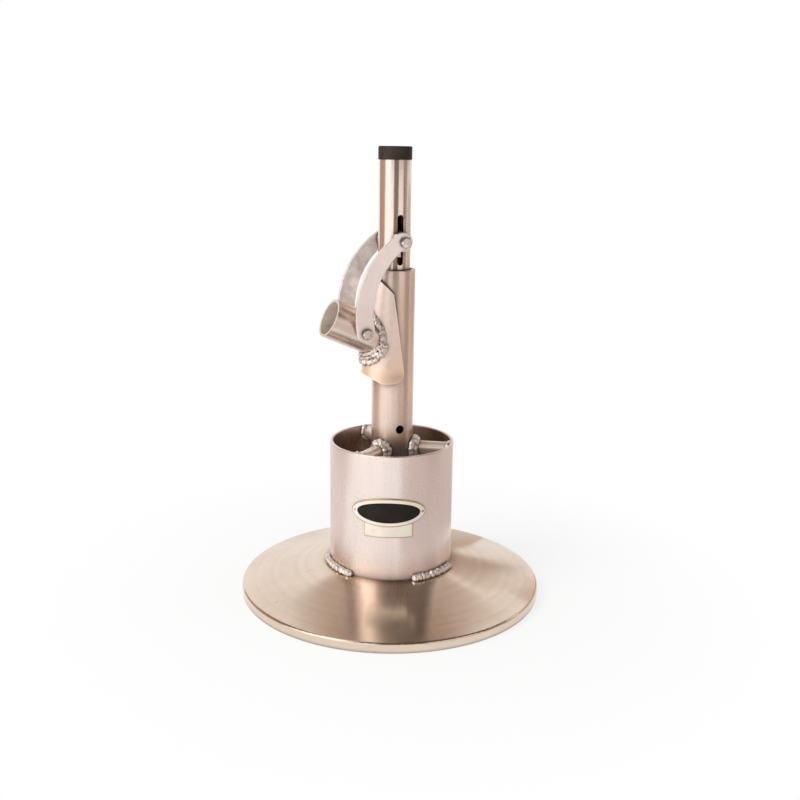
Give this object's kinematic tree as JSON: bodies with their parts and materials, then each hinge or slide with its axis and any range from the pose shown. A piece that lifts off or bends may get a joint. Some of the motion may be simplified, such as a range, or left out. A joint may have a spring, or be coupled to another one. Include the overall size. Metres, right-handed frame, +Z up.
{
  "type": "soil blocker",
  "caption": "Hand-operated soil blocker: open mould cylinder on a dished base, slotted column, and a socketed lever whose curved links drive a plunger in the mould.",
  "frame": {"origin": "centre of the base rim, on the plane that the base stands on", "axes": "+Z up along the column; the lever swings in the XZ plane with its handle socket towards -X; all pivots run along Y"},
  "size_m": [0.28, 0.28, 0.4082],
  "materials": {
    "base_steel": "satin",
    "mould_steel": "satin",
    "column_steel": "satin",
    "guide_steel": "polished",
    "cap_plastic": "matte",
    "weld_metal": "rough",
    "bushing_bronze": "satin",
    "lever_steel": "satin",
    "link_steel": "matte",
    "fastener_steel": "polished",
    "plunger_steel": "satin"
  },
  "bodies": {
    "frame": {"base_dish": "base_steel", "mould_cylinder": "mould_steel", "foot_welds": "weld_metal", "column_tube": "column_steel", "guide_tube": "guide_steel", "end_cap": "cap_plastic", "upper_bushing": "bushing_bronze", "rod_bushing": "bushing_bronze", "arm_right": "column_steel", "arm_rear": "column_steel", "arm_left": "column_steel", "arm_welds": "weld_metal", "pivot_pin": "lever_steel"},
    "lever": {"lever_shoe": "lever_steel", "handle_socket": "lever_steel", "socket_weld": "weld_metal", "boss_front": "lever_steel", "boss_rear": "lever_steel", "link_bolt": "fastener_steel", "link_nut": "fastener_steel"},
    "plunger": {"crosshead_block": "plunger_steel", "crosshead_bolt": "fastener_steel", "crosshead_nut": "fastener_steel", "spacer_front": "fastener_steel", "spacer_rear": "fastener_steel", "push_rod": "plunger_steel", "plunger_plate": "plunger_steel", "plunger_nut_upper": "fastener_steel", "plunger_nut_lower": "fastener_steel"},
    "links": {"front_link": "link_steel", "rear_link": "link_steel"}
  },
  "joints": [
    {"name": "lever_pivot", "type": "hinge", "parent": "frame", "child": "lever", "pos_m": [-0.011, 0, 0.219], "axis": [0, -1, 0], "range_deg": [0, 20]},
    {"name": "plunger_slide", "type": "slide", "parent": "frame", "child": "plunger", "axis": [0, 0, -1], "range_m": [0, 0.01455]},
    {"name": "link_swing", "type": "hinge", "parent": "plunger", "child": "links", "pos_m": [0, 0, 0.3276], "axis": [0, 1, 0], "range_deg": [0, 7.04]}
  ],
  "couplings": [
    {"joint": "plunger_slide", "follows": "lever_pivot", "m_per_rad": 0.041625},
    {"joint": "link_swing", "follows": "lever_pivot", "ratio": 0.3515}
  ]
}
